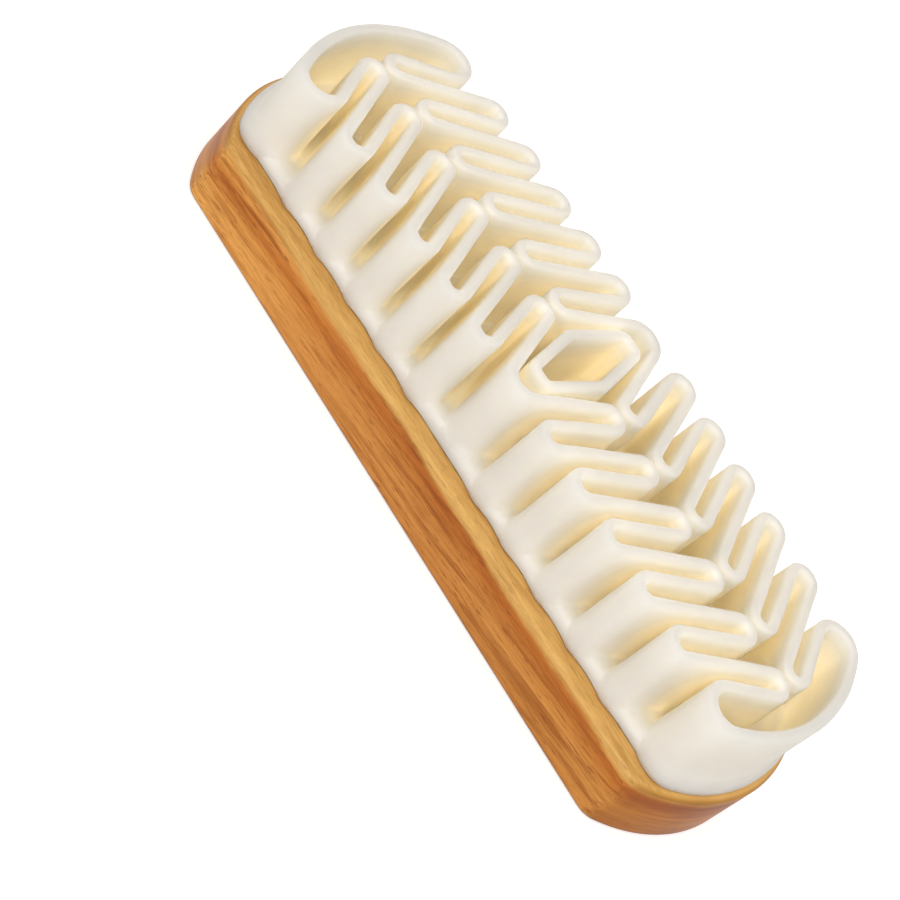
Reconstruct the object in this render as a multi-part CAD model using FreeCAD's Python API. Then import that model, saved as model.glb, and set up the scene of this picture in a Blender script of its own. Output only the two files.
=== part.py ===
import FreeCAD, Part
import math
import os
from collections import namedtuple

# Crepe suede brush: a beech block that carries a natural rubber head. The head is a thin sheet with a
# scalloped outline, one long wall folded into fingers that stands on it, and a ring in the middle.
# Millimetres. X runs along the block, Y across it and Z up, from the block's flat back to the rim.
# The origin is the middle of the block's back, the face that the brush rests on.

# A setback is the way along X from the end of an outline to the centre of its corner.

# Beech block
block_length = 140.0
block_width = 48.5
block_thickness = 12.5
block_corner_radius = 4.5
block_corner_setback = 12.65
block_top_round = 1.0
block_back_chamfer = 0.5

# Glue between the block and the rubber: it ends where the hollows in the rubber's edge end
glue_thickness = 0.3

# Rubber sheet under the folds: its margins to the block's edges and its edge
sheet_thickness = 2.0
sheet_end_margin = 1.0
sheet_side_margin = 3.0
sheet_corner_setback = 9.65
scallop_depth = 0.8

# Folded wall: its thickness, the height of its rim over the block, and the rim's crown
wall_thickness = 2.1
head_height = 18.5
crown_drop = 2.0

# Folds, given on the middle line of the wall. Lobes are the outer turns, tips the inner ones.
# The middle lobes beside the ring lie an inset behind the others.
least_pitch = 8.9
tip_bend = 2.0
tip_gap = 0.6
lobe_bend = 2.2
lobe_lip = 0.5
inner_lean = 5.3
outer_lean = 7.1
middle_lobe_bend = 3.25
middle_lobe_inset = 1.15

# Rounded caps that close the wall at both ends
cap_lip = 1.4
cap_lobe_bend = 3.8
cap_lobe_setback = 8.55
cap_space = 4.3

# Six-sided ring in the middle, a flattened rhomb across the block with blunt ends
ring_bend = 1.6
ring_width = 12.0
ring_blunt = 1.2
ring_side_clearance = 1.3
ring_end_clearance = 3.9

# Levels
glue_bottom = block_thickness
sheet_bottom = glue_bottom + glue_thickness
sheet_top = sheet_bottom + sheet_thickness
rim_top = block_thickness + head_height

# Reach of the rubber, from the block inwards
sheet_half_length = block_length / 2 - sheet_end_margin
sheet_half_width = block_width / 2 - sheet_side_margin
half_wall = wall_thickness / 2
wall_half_length = sheet_half_length - cap_lip - half_wall
wall_half_width = sheet_half_width - lobe_lip - half_wall

# One turn of a path: a circle that the path follows, to the left (turn 1) or to the right (turn -1)
Bend = namedtuple("Bend", "x y radius turn")

LEFT = 1
RIGHT = -1
TINY = 1e-6


def tangent_angle(first, second):
    """Heading of the straight run that leaves one bend and enters the next."""
    dx = second.x - first.x
    dy = second.y - first.y
    sideways = second.turn * second.radius - first.turn * first.radius
    ratio = sideways / math.hypot(dx, dy)
    return math.atan2(dy, dx) - math.asin(max(-1.0, min(1.0, ratio)))


def point_on(bend, radius, angle, z):
    return FreeCAD.Vector(bend.x + radius * math.cos(angle), bend.y + radius * math.sin(angle), z)


def path_wire(bends, offset, z):
    """Closed wire at height z along the bends, moved outwards by offset: arcs joined by straight runs."""
    quarter = math.pi / 2
    count = len(bends)
    headings = [tangent_angle(bends[i], bends[(i + 1) % count]) for i in range(count)]
    arcs = []
    for i, bend in enumerate(bends):
        radius = bend.radius + bend.turn * offset
        start = headings[i - 1] - bend.turn * quarter
        sweep = bend.turn * ((headings[i] - headings[i - 1]) * bend.turn % (2 * math.pi))
        points = [point_on(bend, radius, start + sweep * part, z) for part in (0.0, 0.5, 1.0)]
        arcs.append(points)
    edges = []
    for i, (start, middle, end) in enumerate(arcs):
        following = arcs[(i + 1) % count][0]
        if end.distanceToPoint(following) < TINY:
            edges.append(Part.Arc(start, middle, following).toShape())
        else:
            edges.append(Part.Arc(start, middle, end).toShape())
            edges.append(Part.LineSegment(end, following).toShape())
    return Part.Wire(edges)


def mirrored(bends, flip_x, flip_y):
    """Copy of the bends on another quarter of the plan. One flip also reverses the order of travel."""
    copies = [Bend(b.x * flip_x, b.y * flip_y, b.radius, b.turn) for b in bends]
    return copies if flip_x == flip_y else copies[::-1]


def cap_bends(half_length, half_width, setback, corner):
    """Bend of a cap at the +X end and of the turn that leads into it on the -Y side, tangent inside."""
    corner_y = half_width - corner
    radius = (setback ** 2 + corner_y ** 2 - corner ** 2) / (2 * (setback - corner))
    cap = Bend(half_length - radius, 0.0, radius, LEFT)
    return cap, Bend(half_length - setback, -corner_y, corner, LEFT)


def lobe_positions(tips):
    """X of the lobe between each pair of tips: the fingers lean more towards the ends of the brush."""
    last = len(tips) - 2
    positions = []
    for i in range(len(tips) - 1):
        ease = (1 - i / max(last, 1)) ** 2
        lean = outer_lean - (outer_lean - inner_lean) * ease
        positions.append((tips[i] + tips[i + 1]) / 2 - lean)
    return positions


cap, cap_lobe = cap_bends(wall_half_length, wall_half_width, cap_lobe_setback, cap_lobe_bend)
sheet_end, sheet_corner = cap_bends(sheet_half_length, sheet_half_width, sheet_corner_setback,
                                    cap_lobe_bend + half_wall)
tip_reach = tip_bend + half_wall
first_tip = ring_width / 2 + ring_side_clearance + tip_reach
last_tip = wall_half_length - half_wall - cap_space - tip_reach
finger_count = int((last_tip - first_tip) / least_pitch)
tip_pitch = (last_tip - first_tip) / finger_count
tip_xs = [first_tip + i * tip_pitch for i in range(finger_count + 1)]
lobe_xs = lobe_positions(tip_xs)
tip_y = tip_gap / 2 + tip_reach
lobe_y = wall_half_width - lobe_bend
middle_lobe_y = wall_half_width - middle_lobe_inset - middle_lobe_bend


def wall_bends():
    """Middle line of the folded wall, once round, from four mirrored quarters."""
    quarter = []
    for i, tip_x in enumerate(tip_xs):
        quarter.append(Bend(tip_x, -tip_y, tip_bend, RIGHT))
        if i < len(lobe_xs):
            quarter.append(Bend(lobe_xs[i], -lobe_y, lobe_bend, LEFT))
    quarter.append(cap_lobe)
    middle = Bend(0.0, -middle_lobe_y, middle_lobe_bend, LEFT)
    near_half = [middle] + quarter + [cap] + mirrored(quarter, 1, -1)
    return near_half + mirrored(near_half, -1, -1)


def ring_bends():
    """Middle line of the ring: two wide corners on X and a pair of corners at each blunt end."""
    side_x = ring_width / 2 - half_wall - ring_bend
    end_x = ring_blunt / 2
    pocket_end = wall_half_width - middle_lobe_inset - half_wall
    end_y = pocket_end - ring_end_clearance - half_wall - ring_bend
    corners = [(side_x, 0.0), (end_x, end_y), (-end_x, end_y)]
    half = [Bend(x, y, ring_bend, LEFT) for x, y in corners]
    return half + mirrored(half, -1, -1)


def crown():
    """Space under the rim's crown: the rim is highest in the middle of the brush and falls to the caps."""
    reach = block_length / 2
    cap_reach = wall_half_length + half_wall
    curve = (cap_reach ** 2 + crown_drop ** 2) / (2 * crown_drop)
    end_z = rim_top - curve + math.sqrt(curve ** 2 - reach ** 2)
    y = -block_width / 2
    left_low = FreeCAD.Vector(-reach, y, 0)
    right_low = FreeCAD.Vector(reach, y, 0)
    right_high = FreeCAD.Vector(reach, y, end_z)
    left_high = FreeCAD.Vector(-reach, y, end_z)
    edges = [
        Part.makeLine(left_low, right_low),
        Part.makeLine(right_low, right_high),
        Part.Arc(right_high, FreeCAD.Vector(0, y, rim_top), left_high).toShape(),
        Part.makeLine(left_high, left_low),
    ]
    return Part.Face(Part.Wire(edges)).extrude(FreeCAD.Vector(0, block_width, 0))


def standing_wall(bends):
    """Wall of even thickness along a closed path, raised past the rim and cut off under the crown."""
    outer = Part.Face(path_wire(bends, half_wall, sheet_top))
    inner = Part.Face(path_wire(bends, -half_wall, sheet_top))
    return outer.cut(inner).extrude(FreeCAD.Vector(0, 0, head_height)).common(crown())


def plate_bends(end, corner):
    """Outline of a plate with straight sides and curved ends, from one cap and one corner."""
    near = [corner, end] + mirrored([corner], 1, -1)
    return near + mirrored(near, -1, -1)


def wooden_handle():
    """Beech block: straight sides, gently curved ends, a rounded top edge and a chamfered back edge."""
    end, corner = cap_bends(block_length / 2, block_width / 2, block_corner_setback, block_corner_radius)
    outline = path_wire(plate_bends(end, corner), 0.0, 0.0)
    block = Part.Face(outline).extrude(FreeCAD.Vector(0, 0, block_thickness))
    back_edges = [e for e in block.Edges if e.BoundBox.ZMax < TINY]
    block = block.makeChamfer(block_back_chamfer, back_edges)
    top_edges = [e for e in block.Edges if e.BoundBox.ZMin > block_thickness - TINY]
    return block.makeFillet(block_top_round, top_edges)


def glue_layer():
    outline = path_wire(plate_bends(sheet_end, sheet_corner), -scallop_depth, glue_bottom)
    return Part.Face(outline).extrude(FreeCAD.Vector(0, 0, glue_thickness))


def scallop(start, end, depth):
    """Hollow arc between two points of the sheet's side, depth deep at its middle."""
    inward = -math.copysign(depth, start.y)
    middle = (start + end) * 0.5 + FreeCAD.Vector(0, inward, 0)
    return Part.Arc(start, middle, end).toShape()


def sheet_outline(z):
    """Outline of the rubber sheet: a hollow scallop from lobe to lobe along each side, and round caps."""
    cusps = [-sheet_corner.x] + [-x for x in lobe_xs[::-1]] + lobe_xs + [sheet_corner.x]
    edges = []
    for side in (-1, 1):
        points = [FreeCAD.Vector(x * -side, side * sheet_half_width, z) for x in cusps]
        edges += [scallop(a, b, scallop_depth) for a, b in zip(points, points[1:])]
        edges += cap_edges(sheet_end, sheet_corner, -side, z)
    return Part.Wire(edges)


def cap_edges(end, corner, side, z):
    """Three arcs of the sheet's cap at one end: corner, long arc, corner."""
    lean = math.atan2(-corner.y, corner.x - end.x)
    down = -math.pi / 2
    first = Bend(side * corner.x, side * corner.y, corner.radius, LEFT)
    long = Bend(side * end.x, 0.0, end.radius, LEFT)
    last = Bend(side * corner.x, -side * corner.y, corner.radius, LEFT)
    turned = 0.0 if side > 0 else math.pi
    spans = [(first, down, -lean), (long, -lean, lean), (last, lean, -down)]
    edges = []
    for bend, start, stop in spans:
        angles = (start, (start + stop) / 2, stop)
        points = [point_on(bend, bend.radius, turned + angle, z) for angle in angles]
        edges.append(Part.Arc(*points).toShape())
    return edges


def rubber_sheet():
    return Part.Face(sheet_outline(sheet_bottom)).extrude(FreeCAD.Vector(0, 0, sheet_thickness))


nodes = {
    "wooden_handle": wooden_handle(),
    "glue_layer": glue_layer(),
    "rubber_sheet": rubber_sheet(),
    "folded_wall": standing_wall(wall_bends()),
    "centre_ring": standing_wall(ring_bends()),
}

os.makedirs("parts", exist_ok=True)
for name, shape in nodes.items():
    shape.exportStep("parts/" + name + ".step")
    box = shape.optimalBoundingBox(True, False)
    print(name, "solids", len(shape.Solids), "valid", shape.isValid(), "volume", round(shape.Volume, 1),
          "x", round(box.XMin, 2), round(box.XMax, 2), "y", round(box.YMin, 2), round(box.YMax, 2),
          "z", round(box.ZMin, 2), round(box.ZMax, 2))
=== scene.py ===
import bmesh
import bpy
import math
from collections import namedtuple
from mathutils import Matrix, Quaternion, Vector, noise
from mathutils.bvhtree import BVHTree


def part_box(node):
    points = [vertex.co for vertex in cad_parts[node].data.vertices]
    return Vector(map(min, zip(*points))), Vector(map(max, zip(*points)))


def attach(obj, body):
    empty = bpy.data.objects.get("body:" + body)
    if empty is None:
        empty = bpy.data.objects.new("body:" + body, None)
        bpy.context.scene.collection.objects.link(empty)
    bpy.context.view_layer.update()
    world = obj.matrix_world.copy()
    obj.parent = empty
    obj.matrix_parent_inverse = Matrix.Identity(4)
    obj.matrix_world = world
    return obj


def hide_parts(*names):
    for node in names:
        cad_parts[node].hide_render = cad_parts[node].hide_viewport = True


# Crepe suede brush on its back: a lacquered beech block under a natural rubber head.
# Metres. X runs along the block, Y across it and Z up, as in the frame.

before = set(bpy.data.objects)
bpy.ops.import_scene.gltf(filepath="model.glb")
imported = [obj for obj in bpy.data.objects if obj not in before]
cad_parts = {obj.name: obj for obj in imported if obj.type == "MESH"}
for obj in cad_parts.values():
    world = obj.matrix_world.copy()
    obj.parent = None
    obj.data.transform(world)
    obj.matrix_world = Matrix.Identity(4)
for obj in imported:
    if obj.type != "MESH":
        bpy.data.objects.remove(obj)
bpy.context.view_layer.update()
MM = 0.001

# Boxes of the solids, which give the outer sizes
block_low, block_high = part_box("wooden_handle")
sheet_low, sheet_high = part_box("rubber_sheet")
wall_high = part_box("folded_wall")[1]
ring_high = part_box("centre_ring")[1]

# Block: its corners and edges
block_corner_radius = 4.5 * MM
block_corner_setback = 12.65 * MM
block_top_round = 1.0 * MM
block_back_round = 0.6 * MM

# Beech: the stretch at each end whose top shows no grain lines, how the grain climbs along the block and
# how deep it is, how far the reddish band sinks towards -X, and how far band and golden edge wander
block_plain_end = 4.5 * MM
grain_climb = math.radians(4.5)
grain_depth = 0.05 * MM
band_sink = 0.24
band_wander = 3.6 * MM

# Marks of the beech, as features per metre along X, Y and Z
wander_marks = (45.0, 60.0, 60.0)
shade_marks = (11.0, 130.0, 210.0)
year_marks = (90.0, 55.0, 900.0)
streak_marks = (48.0, 800.0, 800.0)
patch_marks = (25.0, 90.0, 160.0)
fibre_marks = (190.0, 2400.0, 2400.0)
fleck_marks = (380.0, 3800.0, 3800.0)

# Sheet: its corners, how far its edge lies behind the feet of the lobes, the waves of that edge in front
# of the lobes, and its rounding
sheet_corner_setback = 9.65 * MM
shelf_inset = 0.75 * MM
shelf_wave = 0.5 * MM
shelf_wave_reach = 4.6 * MM
shelf_round = 1.8 * MM

# Wall, folds, caps and ring, on the middle line of the wall
wall_thickness = 2.1 * MM
crown_drop = 2.0 * MM
tip_count = 6
tip_bend = 2.0 * MM
tip_gap = 0.6 * MM
lobe_bend = 2.2 * MM
inner_lean = 5.3 * MM
outer_lean = 7.1 * MM
middle_lobe_bend = 3.25 * MM
middle_lobe_inset = 1.15 * MM
cap_lobe_bend = 3.8 * MM
cap_lobe_setback = 8.55 * MM
cap_space = 4.3 * MM
ring_bend = 1.6 * MM
ring_blunt = 1.2 * MM
ring_side_clearance = 1.3 * MM

# Section of the wall: soft rim, slight draft and a hollow fillet where it stands on the sheet
rim_round = 0.85 * MM
wall_draft = 0.06 * MM
fillet_width = 0.7 * MM
fillet_height = 0.9 * MM
fillet_dip = 0.05 * MM
ring_fillet_width = 0.4 * MM

# Outer foot of lobes and caps: a slow flare that runs down past the sheet to the wood
lobe_flare = 0.45 * MM
cap_flare = 1.15 * MM
cap_flare_start = 10.0 * MM
cap_flare_run = 8.0 * MM
flare_rise = 2.4 * MM
flare_fall = 1.2 * MM
edge_fade = 1.6 * MM
midline_gap = 0.02 * MM

# Where light still reaches into the folds: the mouths of the gaps between the lobes, and just under the rim
mouth_depth = 7.0 * MM
mouth_height = 7.0 * MM
mouth_gain = 0.45
rim_depth = 7.0 * MM
rim_gain = 0.22

# Moulded rubber: its unevenness, how deep light wanders in it, and its skin
ripple_size = 9.0 * MM
ripple_depth = 0.1 * MM
rubber_glow = 8.0 * MM
skin_depth = 0.1 * MM

# Marks of the rubber and the glue, as features per metre
cloud_marks = (140.0, 140.0, 140.0)
skin_marks = (900.0, 900.0, 900.0)
glue_marks = (400.0, 400.0, 400.0)

# Fineness of the meshes
arc_step = math.radians(10.0)
arc_run = 1.0 * MM
run_step = 1.5 * MM
round_steps = 6
side_steps = 7
grid_step = 1.5 * MM
sky_rays = 64
sky_reach = 30.0 * MM

Bend = namedtuple("Bend", "x y radius turn")
Station = namedtuple("Station", "x y nx ny")
LEFT = 1
RIGHT = -1
TINY = 1e-7

half_wall = wall_thickness / 2
wall_half_length = wall_high.x - half_wall
wall_half_width = wall_high.y - half_wall
rim_top = wall_high.z
sheet_top = sheet_high.z
crown_curve = (wall_high.x ** 2 + crown_drop ** 2) / (2 * crown_drop)


def tangent_angle(first, second):
    """Heading of the straight run that leaves one bend and enters the next."""
    dx = second.x - first.x
    dy = second.y - first.y
    sideways = second.turn * second.radius - first.turn * first.radius
    ratio = sideways / math.hypot(dx, dy)
    return math.atan2(dy, dx) - math.asin(max(-1.0, min(1.0, ratio)))


def arc_stations(bend, heading, sweep):
    """Stations on one bend, from a heading through a sweep."""
    steps = max(2, math.ceil(abs(sweep) * max(1 / arc_step, bend.radius / arc_run)))
    stations = []
    for k in range(steps + 1):
        outward = heading + sweep * k / steps - math.pi / 2
        nx = math.cos(outward)
        ny = math.sin(outward)
        reach = bend.turn * bend.radius
        stations.append(Station(bend.x + reach * nx, bend.y + reach * ny, nx, ny))
    return stations


def path_stations(bends):
    """Stations once round a closed path of bends joined by straight runs."""
    count = len(bends)
    headings = [tangent_angle(bends[i], bends[(i + 1) % count]) for i in range(count)]
    arcs = []
    for i, bend in enumerate(bends):
        turned = (headings[i] - headings[i - 1]) * bend.turn % (2 * math.pi)
        arcs.append(arc_stations(bend, headings[i - 1], bend.turn * turned))
    stations = []
    for i, arc in enumerate(arcs):
        following = arcs[(i + 1) % count][0]
        end = arc[-1]
        length = math.hypot(following.x - end.x, following.y - end.y)
        stations += arc if length > TINY else arc[:-1]
        steps = math.ceil(length / run_step)
        for k in range(1, steps):
            part = k / steps
            x = end.x + (following.x - end.x) * part
            y = end.y + (following.y - end.y) * part
            stations.append(Station(x, y, end.nx, end.ny))
    return stations


def mirrored(bends, flip_x, flip_y):
    """Copy of the bends on another quarter of the plan. One flip also reverses the order of travel."""
    copies = [Bend(b.x * flip_x, b.y * flip_y, b.radius, b.turn) for b in bends]
    return copies if flip_x == flip_y else copies[::-1]


def cap_bends(half_length, half_width, setback, corner):
    """Bend of a cap at the +X end and of the turn that leads into it on the -Y side."""
    corner_y = half_width - corner
    radius = (setback ** 2 + corner_y ** 2 - corner ** 2) / (2 * (setback - corner))
    cap = Bend(half_length - radius, 0.0, radius, LEFT)
    return cap, Bend(half_length - setback, -corner_y, corner, LEFT)


def tip_positions():
    """X of the fingertips on one half, at even steps from the ring to the cap."""
    reach = tip_bend + half_wall
    first = ring_high.x + ring_side_clearance + reach
    last = wall_half_length - half_wall - cap_space - reach
    pitch = (last - first) / (tip_count - 1)
    return [first + i * pitch for i in range(tip_count)]


def lobe_positions(tips):
    """X of the lobe between each pair of tips: the fingers lean more towards the ends."""
    last = len(tips) - 2
    positions = []
    for i in range(last + 1):
        ease = (1 - i / last) ** 2
        lean = outer_lean - (outer_lean - inner_lean) * ease
        positions.append((tips[i] + tips[i + 1]) / 2 - lean)
    return positions


tip_xs = tip_positions()
lobe_xs = lobe_positions(tip_xs)


def wall_bends():
    """Middle line of the folded wall, from four mirrored quarters."""
    cap, cap_lobe = cap_bends(wall_half_length, wall_half_width, cap_lobe_setback, cap_lobe_bend)
    tip_y = tip_gap / 2 + tip_bend + half_wall
    lobe_y = wall_half_width - lobe_bend
    quarter = []
    for i, tip_x in enumerate(tip_xs):
        quarter.append(Bend(tip_x, -tip_y, tip_bend, RIGHT))
        if i < len(lobe_xs):
            quarter.append(Bend(lobe_xs[i], -lobe_y, lobe_bend, LEFT))
    quarter.append(cap_lobe)
    middle_y = wall_half_width - middle_lobe_inset - middle_lobe_bend
    middle = Bend(0.0, -middle_y, middle_lobe_bend, LEFT)
    near_half = [middle] + quarter + [cap] + mirrored(quarter, 1, -1)
    return near_half + mirrored(near_half, -1, -1)


def ring_bends():
    """Middle line of the six-sided ring."""
    side_x = ring_high.x - half_wall - ring_bend
    end_x = ring_blunt / 2
    end_y = ring_high.y - half_wall - ring_bend
    corners = [(side_x, 0.0), (end_x, end_y), (-end_x, end_y)]
    half = [Bend(x, y, ring_bend, LEFT) for x, y in corners]
    return half + mirrored(half, -1, -1)


def plate_bends(end, corner):
    """Outline of a plate with two curved ends, from one end and one corner."""
    near = [corner, end] + mirrored([corner], 1, -1)
    return near + mirrored(near, -1, -1)


def smooth(value):
    """Soft step from 0 to 1."""
    share = max(0.0, min(1.0, value))
    return share * share * (3 - 2 * share)


def sheet_stations():
    """Outline of the sheet: just behind the feet of the lobes, with a soft wave in front of each one."""
    corner_radius = cap_lobe_bend + half_wall - shelf_inset
    end, corner = cap_bends(sheet_high.x - shelf_inset, sheet_high.y - shelf_inset,
                            sheet_corner_setback - shelf_inset, corner_radius)
    stations = []
    for s in path_stations(plate_bends(end, corner)):
        nearest = min(abs(abs(s.x) - lobe_x) for lobe_x in lobe_xs)
        out = shelf_wave * smooth(1 - nearest / shelf_wave_reach)
        stations.append(Station(s.x + out * s.nx, s.y + out * s.ny, s.nx, s.ny))
    return stations


def quarter_round(e, z, radius_e, radius_z, start, stop):
    """Points of an elliptic quarter about (e, z), between two angles in quarter turns."""
    points = []
    for k in range(round_steps + 1):
        angle = math.pi / 2 * (start + (stop - start) * k / round_steps)
        points.append((e + radius_e * math.cos(angle), z + radius_z * math.sin(angle)))
    return points


def edge_share(x, y):
    """1 where the wall's outer face stands at the sheet's edge, on lobes and caps, and 0 in the gaps."""
    side = abs(y) - (sheet_high.y - shelf_inset - shelf_round)
    end = abs(x) - (wall_high.x - cap_lobe_setback)
    return max(smooth(side / edge_fade), smooth(end / edge_fade))


def gap_foot(width):
    """Foot of the wall in a gap, from the bottom up: a hollow fillet from just under the sheet's top."""
    low = sheet_top - fillet_dip
    high = sheet_top + fillet_height
    foot = [(half_wall + width, sheet_low.z + midline_gap)]
    return foot + quarter_round(half_wall + width, high, -width, low - high, 1, 0)


def edge_foot(x):
    """Foot of the wall at the edge of the sheet, from the bottom up: a slow flare, wider on the caps."""
    reach = smooth((abs(x) - wall_high.x + cap_flare_start) / cap_flare_run)
    width = lobe_flare + (cap_flare - lobe_flare) * reach
    low = sheet_top - flare_fall
    high = sheet_top + flare_rise
    foot = [(half_wall + width, sheet_low.z + midline_gap)]
    for k in range(round_steps + 1):
        part = k / round_steps
        foot.append((half_wall + width * (1 - smooth(part)), low + (high - low) * part))
    return foot


def blended(first, second, share):
    """Points part of the way from one list of points to another."""
    return [(a + (c - a) * share, b + (d - b) * share) for (a, b), (c, d) in zip(first, second)]


def wall_top(foot):
    """The rest of one side of the wall over its foot: even steps up to the rounded rim."""
    start_e, start_z = foot[-1]
    rim_e = half_wall - wall_draft - rim_round
    rim = quarter_round(rim_e, rim_top - rim_round, rim_round, rim_round, 0, 1)
    end_e, end_z = rim[0]
    steps = [k / side_steps for k in range(1, side_steps)]
    return [(start_e + (end_e - start_e) * k, start_z + (end_z - start_z) * k) for k in steps] + rim


def wall_section(station, width):
    """Section of a wall at a station, as (distance from its middle line, height), outer side first."""
    x = station.x + half_wall * station.nx
    y = station.y + half_wall * station.ny
    gap = gap_foot(width)
    edge = blended(gap, edge_foot(x), edge_share(x, y))
    outer = edge + wall_top(edge)
    inner = gap + wall_top(gap)
    return outer + [(-e, z) for e, z in inner[::-1]]


def kept_apart(y, side):
    """Y of a point, held back from the midline when its fillet would cross it."""
    return y if y * side >= 0 else math.copysign(midline_gap, side)


def crowned(x, z):
    """Height of a point of the wall after the rim's crown is taken off."""
    drop = crown_curve - math.sqrt(crown_curve ** 2 - x ** 2)
    share = max(0.0, (z - sheet_top) / (rim_top - sheet_top))
    return z - drop * share


def rippled(point):
    """Point of the rubber moved a little by soft unevenness that starts above the foot."""
    share = max(0.0, min(1.0, (point.z - sheet_top) / (rim_top - sheet_top)))
    push = noise.noise_vector(point / ripple_size) * ripple_depth * share
    return point + Vector((push.x, push.y, min(0.0, push.z)))


def mesh_object(name, points, faces):
    """Smooth-shaded object from points and faces."""
    mesh = bpy.data.meshes.new(name)
    mesh.from_pydata(points, [], faces)
    mesh.validate()
    for polygon in mesh.polygons:
        polygon.use_smooth = True
    piece = bpy.data.objects.new(name, mesh)
    bpy.context.collection.objects.link(piece)
    return piece


def strip_faces(stations, rows, closed):
    """Quads between neighbouring stations and neighbouring points of the section."""
    faces = []
    last = rows if closed else rows - 1
    for i in range(stations):
        here = i * rows
        there = (i + 1) % stations * rows
        for j in range(last):
            up = (j + 1) % rows
            faces.append((here + j, there + j, there + up, here + up))
    return faces


def wall_object(name, bends, width):
    """Standing rubber wall along a closed path."""
    stations = path_stations(bends)
    sections = [wall_section(s, width) for s in stations]
    points = []
    for s, section in zip(stations, sections):
        for e, z in section:
            x = s.x + e * s.nx
            y = kept_apart(s.y + e * s.ny, s.y)
            points.append(rippled(Vector((x, y, crowned(x, z)))))
    return mesh_object(name, points, strip_faces(len(stations), len(sections[0]), True))


def plate_object(name, stations, profile):
    """Plate with an outline and an edge section, from the bottom up, closed by two flat faces."""
    points = [Vector((s.x + e * s.nx, s.y + e * s.ny, z)) for s in stations for e, z in profile]
    rows = len(profile)
    faces = strip_faces(len(stations), rows, False)
    faces.append([i * rows for i in range(len(stations))][::-1])
    faces.append([i * rows + rows - 1 for i in range(len(stations))])
    return mesh_object(name, points, faces)


def cut_grid(piece, half_length, half_width):
    """Cut a plate's flat faces into small squares, which can each take their own shade."""
    mesh = bmesh.new()
    mesh.from_mesh(piece.data)
    for axis, reach in ((Vector((1, 0, 0)), half_length), (Vector((0, 1, 0)), half_width)):
        count = int(reach / grid_step)
        for k in range(-count, count + 1):
            parts = mesh.verts[:] + mesh.edges[:] + mesh.faces[:]
            bmesh.ops.bisect_plane(mesh, geom=parts, plane_co=axis * k * grid_step, plane_no=axis)
    mesh.to_mesh(piece.data)
    mesh.free()


def edge_profile(low, high, bottom_round, top_round):
    """Section of a plate's edge with rounded corners and a narrow flat border on both faces."""
    border = bottom_round
    profile = [(-bottom_round - border, low)]
    profile += quarter_round(-bottom_round, low + bottom_round, bottom_round, bottom_round, -1, 0)
    profile += quarter_round(-top_round, high - top_round, top_round, top_round, 0, 1)
    return profile + [(-top_round - border, high)]


def join(piece, others):
    """Join pieces that overlap into one closed skin: the rubber is moulded in one."""
    for other in others:
        union = piece.modifiers.new("union", "BOOLEAN")
        union.operation = "UNION"
        union.solver = "MANIFOLD"
        union.object = other
    graph = bpy.context.evaluated_depsgraph_get()
    mesh = bpy.data.meshes.new_from_object(piece.evaluated_get(graph))
    mesh.name = piece.name
    piece.modifiers.clear()
    piece.data = mesh
    for other in others:
        bpy.data.objects.remove(other)


def sky_directions():
    """Even spread of directions over a half space about +Z, denser towards its middle."""
    golden = math.pi * (3 - math.sqrt(5))
    directions = []
    for k in range(sky_rays):
        share = (k + 0.5) / sky_rays
        flat = math.sqrt(share)
        turn = k * golden
        directions.append(Vector((flat * math.cos(turn), flat * math.sin(turn), math.sqrt(1 - share))))
    return directions


def mouth_share(point):
    """1 at the foot of the wall on the outer edge of the sheet, and 0 further in or higher up."""
    outward = (abs(point.y) - sheet_high.y + shelf_inset + mouth_depth) / mouth_depth
    low = (sheet_top + mouth_height - point.z) / mouth_height
    return smooth(outward) * smooth(low)


def rim_share(point):
    """1 at the rim, and 0 from some way below it."""
    return smooth((point.z - crowned(point.x, rim_top) + rim_depth) / rim_depth)


def shade_hollows(piece):
    """Store how far each point of the rubber is shut in by its own folds, from 0 to 1, as the mask of the
    painted shade and painted glow in the rubber's colour.
    """
    mesh = piece.data
    tree = BVHTree.FromPolygons([v.co for v in mesh.vertices], [p.vertices for p in mesh.polygons])
    sky = sky_directions()
    hollow = mesh.attributes.new("hollow", "FLOAT", "POINT")
    for vertex in mesh.vertices:
        turn = Vector((0, 0, 1)).rotation_difference(vertex.normal)
        start = vertex.co + vertex.normal * midline_gap
        blocked = [tree.ray_cast(start, turn @ ray, sky_reach)[0] is not None for ray in sky]
        shut = sum(blocked) / sky_rays
        kept = (1 - mouth_gain * mouth_share(vertex.co)) * (1 - rim_gain * rim_share(vertex.co))
        hollow.data[vertex.index].value = shut * kept


def block_stations():
    """Outline of the block."""
    end, corner = cap_bends(block_high.x, block_high.y, block_corner_setback, block_corner_radius)
    return path_stations(plate_bends(end, corner))


def grey(value):
    return (value, value, value)


WHITE = grey(1.0)
BLACK = grey(0.0)


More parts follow.
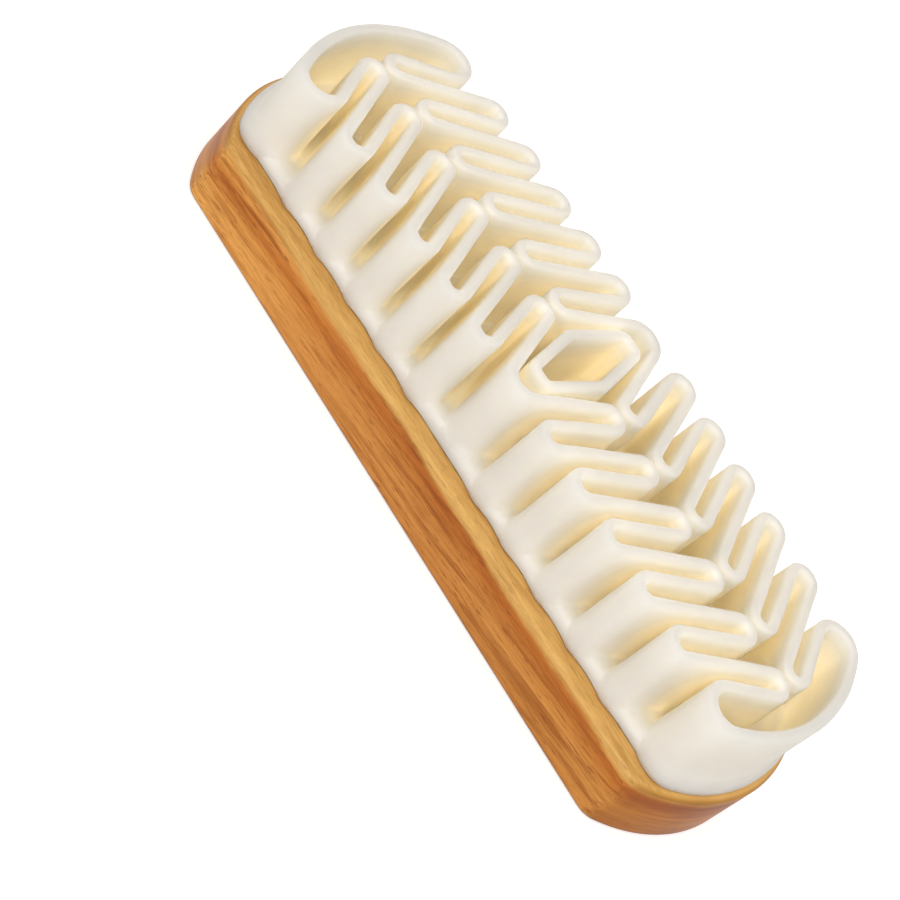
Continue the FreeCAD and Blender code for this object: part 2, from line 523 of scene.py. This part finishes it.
class Shading:
    """Shader nodes of one material or of the surroundings, with the few kinds that are used here."""

    def __init__(self, tree):
        self.nodes = tree.nodes
        self.links = tree.links

    def feed(self, slot, value):
        """Give an input a socket, a colour or a number."""
        if isinstance(value, bpy.types.NodeSocket):
            self.links.new(value, slot)
        elif isinstance(value, tuple):
            slot.default_value = (*value, 1.0)
        else:
            slot.default_value = value

    def calculate(self, operation, *values):
        """Result of one operation on sockets and numbers."""
        node = self.nodes.new("ShaderNodeMath")
        node.operation = operation
        for slot, value in zip(node.inputs, values):
            self.feed(slot, value)
        return node.outputs["Value"]

    def coordinate(self, kind, axis):
        """One part of the object's coordinates or normal."""
        place = self.nodes.new("ShaderNodeTexCoord")
        parts = self.nodes.new("ShaderNodeSeparateXYZ")
        self.feed(parts.inputs["Vector"], place.outputs[kind])
        return parts.outputs[axis]

    def part_way(self, axis, start, stop):
        """Share of the way from start to stop along an axis."""
        return self.share(self.coordinate("Object", axis), start, stop)

    def share(self, value, start, stop):
        """Share of the way from start to stop that a value has come, from 0 to 1."""
        node = self.nodes.new("ShaderNodeMapRange")
        self.feed(node.inputs["From Min"], start)
        self.feed(node.inputs["From Max"], stop)
        self.feed(node.inputs["Value"], value)
        return node.outputs["Result"]

    def noise(self, marks, detail, roughness=0.5, distortion=0.0, climb=0.0):
        """Noise over the object's coordinates, by features per metre on each axis, climbing along X."""
        place = self.nodes.new("ShaderNodeTexCoord")
        mapping = self.nodes.new("ShaderNodeMapping")
        mapping.vector_type = "TEXTURE"
        mapping.inputs["Rotation"].default_value = (0.0, -climb, 0.0)
        mapping.inputs["Scale"].default_value = [1 / count for count in marks]
        self.feed(mapping.inputs["Vector"], place.outputs["Object"])
        texture = self.nodes.new("ShaderNodeTexNoise")
        self.feed(texture.inputs["Scale"], 1.0)
        self.feed(texture.inputs["Detail"], detail)
        self.feed(texture.inputs["Roughness"], roughness)
        self.feed(texture.inputs["Distortion"], distortion)
        self.feed(texture.inputs["Vector"], mapping.outputs["Vector"])
        return texture.outputs["Fac"]

    def ramp(self, value, *stops):
        """Colour by a value, from (position, colour) stops."""
        node = self.nodes.new("ShaderNodeValToRGB")
        elements = node.color_ramp.elements
        while len(elements) < len(stops):
            elements.new(0.5)
        for element, (position, colour) in zip(elements, stops):
            element.position = position
            element.color = (*colour, 1.0)
        self.feed(node.inputs["Fac"], value)
        return node.outputs["Color"]

    def blend(self, factor, first, second, mode="MIX"):
        """Mix of two colours, each a socket or a plain colour, by a factor."""
        node = self.nodes.new("ShaderNodeMix")
        node.data_type = "RGBA"
        node.blend_type = mode
        self.feed(node.inputs["Factor"], factor)
        self.feed(node.inputs[6], first)
        self.feed(node.inputs[7], second)
        return node.outputs[2]

    def multiply(self, first, second, factor=1.0):
        return self.blend(factor, first, second, "MULTIPLY")

    def inverse(self, mask):
        return self.blend(mask, WHITE, BLACK)

    def bump(self, height, strength, depth):
        """Normal of a surface with a height on it."""
        node = self.nodes.new("ShaderNodeBump")
        self.feed(node.inputs["Strength"], strength)
        self.feed(node.inputs["Distance"], depth)
        self.feed(node.inputs["Height"], height)
        return node.outputs["Normal"]

    def in_sight(self):
        """1 where the surroundings are seen, straight or by reflection, and 0 where they give light."""
        path = self.nodes.new("ShaderNodeLightPath")
        seen = path.outputs["Is Camera Ray"]
        for kind in ("Is Glossy Ray", "Is Transmission Ray"):
            seen = self.calculate("MAXIMUM", seen, path.outputs[kind])
        return seen


def new_material(name, base, roughness):
    """Material with its shading and its shader's inputs at hand."""
    material = bpy.data.materials.new(name)
    material.use_nodes = True
    shader = material.node_tree.nodes["Principled BSDF"]
    shader.inputs["Base Color"].default_value = (*base, 1.0)
    shader.inputs["Roughness"].default_value = roughness
    return material, Shading(material.node_tree), shader


def rubber_material():
    """Natural crepe rubber, creamy white outside, with painted light in its folds: painted shade just
    inside them and a painted warm yellow glow deep down, where the folds shut the light in.
    """
    material, shading, shader = new_material("crepe_rubber", (0.9, 0.85, 0.75), 0.55)
    shader.subsurface_method = "BURLEY"
    shader.inputs["Subsurface Weight"].default_value = 1.0
    shader.inputs["Subsurface Radius"].default_value = (1.0, 0.95, 0.85)
    shader.inputs["Subsurface Scale"].default_value = rubber_glow
    shader.inputs["Specular IOR Level"].default_value = 0.3

    # Painted light in the folds: by how shut in each point is, a little darker just inside, then a warm
    # yellow glow deep down that stands in for light bounced and carried through the rubber
    hollow = shading.nodes.new("ShaderNodeAttribute")
    hollow.attribute_name = "hollow"
    cream = (0.2, (0.74, 0.71, 0.655))
    painted_sand_shade = (0.42, (0.71, 0.68, 0.615))
    painted_straw_shade = (0.6, (0.7, 0.65, 0.525))
    painted_honey_glow = (0.8, (0.86, 0.76, 0.55))
    painted_amber_glow = (0.94, (1.0, 0.885, 0.61))
    tint = shading.ramp(hollow.outputs["Fac"], cream, painted_sand_shade, painted_straw_shade, painted_honey_glow, painted_amber_glow)
    cloud = shading.noise(cloud_marks, 3.0)
    mottle = shading.ramp(cloud, (0.35, (0.97, 0.965, 0.955)), (0.65, WHITE))
    shading.feed(shader.inputs["Base Color"], shading.multiply(tint, mottle))

    skin = shading.noise(skin_marks, 4.0)
    shading.feed(shader.inputs["Normal"], shading.bump(skin, 0.2, skin_depth))
    return material


def beech_bands(shading):
    """Colour of the block by height, with a reddish band, and a mask of its golden top edge, which is
    partly the beech's own tone and partly painted light where the edge turns up to the light.
    """
    tan = (0.78, 0.37, 0.098)
    brown = (0.66, 0.265, 0.055)
    rust = (0.56, 0.185, 0.03)
    gold_and_top_light = (0.71, 0.41, 0.122)
    wave = shading.noise(wander_marks, 6.0, 0.62)
    moved = shading.calculate("MULTIPLY_ADD", wave, band_wander, shading.coordinate("Object", "Z"))
    level = shading.share(moved, block_low.z + band_wander / 2, block_high.z + band_wander / 2)
    sunk = shading.calculate("MULTIPLY_ADD", shading.part_way("X", 0.0, block_low.x), band_sink, level)
    body = shading.ramp(sunk, (0.48, tan), (0.67, brown), (0.8, rust), (0.9, brown), (1.0, tan))
    # Golden top edge: partly the beech's own colour, partly painted light on the upturned top
    edge = shading.ramp(level, (0.86, BLACK), (0.93, WHITE))
    return shading.blend(edge, body, gold_and_top_light), edge


def beech_tones(shading, base, edge, grained):
    """Base colour with broad shades, redder towards +X, growth lines on the ends and painted shade along
    the lower edge.
    """
    broad = shading.noise(shade_marks, 2.0, climb=grain_climb / 2)
    shade = shading.ramp(broad, (0.36, (0.93, 0.88, 0.82)), (0.62, grey(1.02)))
    toned = shading.multiply(base, shade)

    light = (0.1, (1.12, 1.18, 1.12))
    warm = (0.35, (0.89, 0.81, 0.7))
    deep = (0.6, (0.78, 0.67, 0.54))
    mellow = (0.9, (0.86, 0.79, 0.65))
    lengthwise = shading.part_way("X", block_low.x, block_high.x)
    drawn = shading.ramp(lengthwise, light, warm, deep, mellow)
    aged = shading.multiply(toned, drawn, shading.inverse(edge))

    years = shading.noise(year_marks, 5.0, 0.62, 0.6)
    across = shading.ramp(years, (0.36, (0.52, 0.37, 0.14)), (0.6, (0.72, 0.57, 0.26)))
    whole = shading.multiply(aged, shading.blend(grained, across, WHITE))

    # Painted shade: the rounded lower edge is darkened where the block meets the floor
    rise = shading.part_way("Z", block_low.z, block_low.z + block_back_round)
    painted_lower_shade = shading.ramp(rise, (0.2, (0.5, 0.4, 0.32)), (1.0, WHITE))
    return shading.multiply(whole, painted_lower_shade)


def beech_lines(shading, plain, edge, grained):
    """Plain colour with streaks, fibres and flecks along the grain, and the height of the streaks."""
    first = shading.part_way("X", block_low.x + block_plain_end, block_low.x + 2 * block_plain_end)
    last = shading.part_way("X", block_high.x - block_plain_end, block_high.x - 2 * block_plain_end)
    lined = shading.multiply(grained, shading.multiply(first, last))
    patch = shading.noise(patch_marks, 1.0, climb=grain_climb)
    much = shading.ramp(patch, (0.33, grey(0.35)), (0.56, WHITE))
    calm = shading.blend(edge, WHITE, grey(0.45))
    some = shading.multiply(shading.multiply(much, lined), calm)

    streak = shading.noise(streak_marks, 5.0, 0.62, 0.7, grain_climb)
    line = shading.ramp(streak, (0.36, (0.6, 0.46, 0.31)), (0.54, WHITE))
    streaked = shading.multiply(plain, line, some)

    thread = shading.noise(fibre_marks, 4.0, 0.65, climb=grain_climb)
    fibre = shading.ramp(thread, (0.36, (0.86, 0.81, 0.75)), (0.58, grey(1.04)))
    fibrous = shading.multiply(streaked, fibre, lined)

    umber = (0.26, 0.075, 0.013)
    dash = shading.noise(fleck_marks, 1.0, climb=grain_climb)
    fleck = shading.ramp(dash, (0.63, BLACK), (0.71, grey(0.85)))
    return shading.blend(shading.multiply(fleck, some), fibrous, umber), streak


def beech_material():
    """Lacquered beech: tan sides with a reddish band under a golden top edge that is partly painted light,
    dark streaks and flecks, and painted shade along the lower edge.
    """
    material, shading, shader = new_material("beech", (0.6, 0.25, 0.05), 0.45)
    shader.inputs["Specular IOR Level"].default_value = 0.15
    shader.inputs["Coat Weight"].default_value = 0.06
    shader.inputs["Coat Roughness"].default_value = 0.2

    # 1 on the faces along the grain and 0 on the ends, which cut across it
    facing = shading.calculate("ABSOLUTE", shading.coordinate("Normal", "X"))
    grained = shading.ramp(facing, (0.3, WHITE), (0.8, BLACK))
    base, edge = beech_bands(shading)
    plain = beech_tones(shading, base, edge, grained)
    colour, streak = beech_lines(shading, plain, edge, grained)
    shading.feed(shader.inputs["Base Color"], colour)
    shading.feed(shader.inputs["Normal"], shading.bump(streak, 0.12, grain_depth))
    return material


def glue_material():
    """Aged contact cement, dull olive brown, unevenly spread."""
    material, shading, shader = new_material("glue", (0.3, 0.22, 0.1), 0.6)
    cloud = shading.noise(glue_marks, 2.0)
    tint = shading.ramp(cloud, (0.3, (0.22, 0.15, 0.06)), (0.7, (0.45, 0.34, 0.17)))
    shading.feed(shader.inputs["Base Color"], tint)
    return material


def dress(piece, nodes, material):
    """Put a piece in the place of its solids with its material."""
    piece.data.materials.clear()
    piece.data.materials.append(material)
    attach(piece, "root")
    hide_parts(*nodes)


def build_brush():
    """Block and rubber head in the place of their solids, and the glue's own solid with its material."""
    block_section = edge_profile(block_low.z, block_high.z, block_back_round, block_top_round)
    block = plate_object("beech_block", block_stations(), block_section)
    dress(block, ["wooden_handle"], beech_material())

    sheet_section = edge_profile(sheet_low.z, sheet_top, midline_gap, shelf_round)
    head = plate_object("rubber_head", sheet_stations(), sheet_section)
    cut_grid(head, sheet_high.x, sheet_high.y)
    folds = wall_object("rubber_folds", wall_bends(), fillet_width)
    ring = wall_object("rubber_ring", ring_bends(), ring_fillet_width)
    join(head, [folds, ring])
    shade_hollows(head)
    dress(head, ["rubber_sheet", "folded_wall", "centre_ring"], rubber_material())

    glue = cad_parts["glue_layer"]
    glue.data.materials.clear()
    glue.data.materials.append(glue_material())


# Camera: what it looks at, how far it stands and how it is turned
aim = Vector((1.6686, -22.4212, 15.5)) * MM
camera_distance = 366.667 * MM
camera_azimuth = math.radians(13.2103)
camera_elevation = math.radians(38.7819)
camera_roll = math.radians(49.0515)
sensor_width = 36.0
camera_lens = 95.394


def add_camera():
    """Camera that sees the brush slanting across the picture."""
    back = Vector((
        math.sin(camera_azimuth) * math.cos(camera_elevation),
        -math.cos(camera_azimuth) * math.cos(camera_elevation),
        math.sin(camera_elevation),
    ))
    data = bpy.data.cameras.new("camera")
    data.sensor_width = sensor_width
    data.lens = camera_lens
    camera = bpy.data.objects.new("camera", data)
    camera.location = aim + back * camera_distance
    camera.rotation_mode = "QUATERNION"
    camera.rotation_quaternion = (-back).to_track_quat("-Z", "Y") @ Quaternion((0, 0, 1), camera_roll)
    bpy.context.collection.objects.link(camera)
    bpy.context.scene.camera = camera


# Studio: floor, white surroundings and a soft lamp
floor_size = 1.6
floor_drop = 0.05 * MM
floor_colour = grey(0.7)
floor_roughness = 0.9
floor_glow = 0.22
surround_light = 0.62
lamp_size = 0.5
lamp_place = Vector((0.294, -1.252, 1.532))
lamp_power = 19.3


def add_floor():
    """Pale floor that is seen as white and keeps the shadow of the brush."""
    half = floor_size / 2
    points = [(-half, -half, 0.0), (half, -half, 0.0), (half, half, 0.0), (-half, half, 0.0)]
    floor = mesh_object("floor", points, [(0, 1, 2, 3)])
    floor.location.z = -floor_drop
    material, shading, shader = new_material("floor", floor_colour, floor_roughness)
    shader.inputs["Specular IOR Level"].default_value = 0.0
    seen = shading.in_sight()
    shading.feed(shader.inputs["Base Color"], shading.blend(seen, floor_colour, WHITE))
    shading.feed(shader.inputs["Emission Color"], WHITE)
    shading.feed(shader.inputs["Emission Strength"], shading.calculate("MULTIPLY", seen, floor_glow))
    floor.data.materials.append(material)


def add_surroundings():
    """Even white light from all round, seen as plain white."""
    world = bpy.data.worlds.new("studio")
    world.use_nodes = True
    shading = Shading(world.node_tree)
    light = shading.nodes["Background"]
    seen = shading.nodes.new("ShaderNodeBackground")
    for background, strength in ((light, surround_light), (seen, 1.0)):
        shading.feed(background.inputs["Color"], WHITE)
        shading.feed(background.inputs["Strength"], strength)
    mix = shading.nodes.new("ShaderNodeMixShader")
    shading.feed(mix.inputs["Fac"], shading.in_sight())
    shading.feed(mix.inputs[1], light.outputs["Background"])
    shading.feed(mix.inputs[2], seen.outputs["Background"])
    shading.feed(shading.nodes["World Output"].inputs["Surface"], mix.outputs["Shader"])
    bpy.context.scene.world = world


def add_lamp():
    """Soft lamp above the camera, turned to the brush."""
    data = bpy.data.lights.new("top_lamp", "AREA")
    data.shape = "DISK"
    data.size = lamp_size
    data.energy = lamp_power
    lamp = bpy.data.objects.new("top_lamp", data)
    lamp.location = lamp_place
    lamp.rotation_mode = "QUATERNION"
    lamp.rotation_quaternion = (aim - lamp_place).to_track_quat("-Z", "Y")
    bpy.context.collection.objects.link(lamp)


build_brush()
add_camera()
add_floor()
add_surroundings()
add_lamp()
bpy.context.scene.view_settings.view_transform = "Standard"
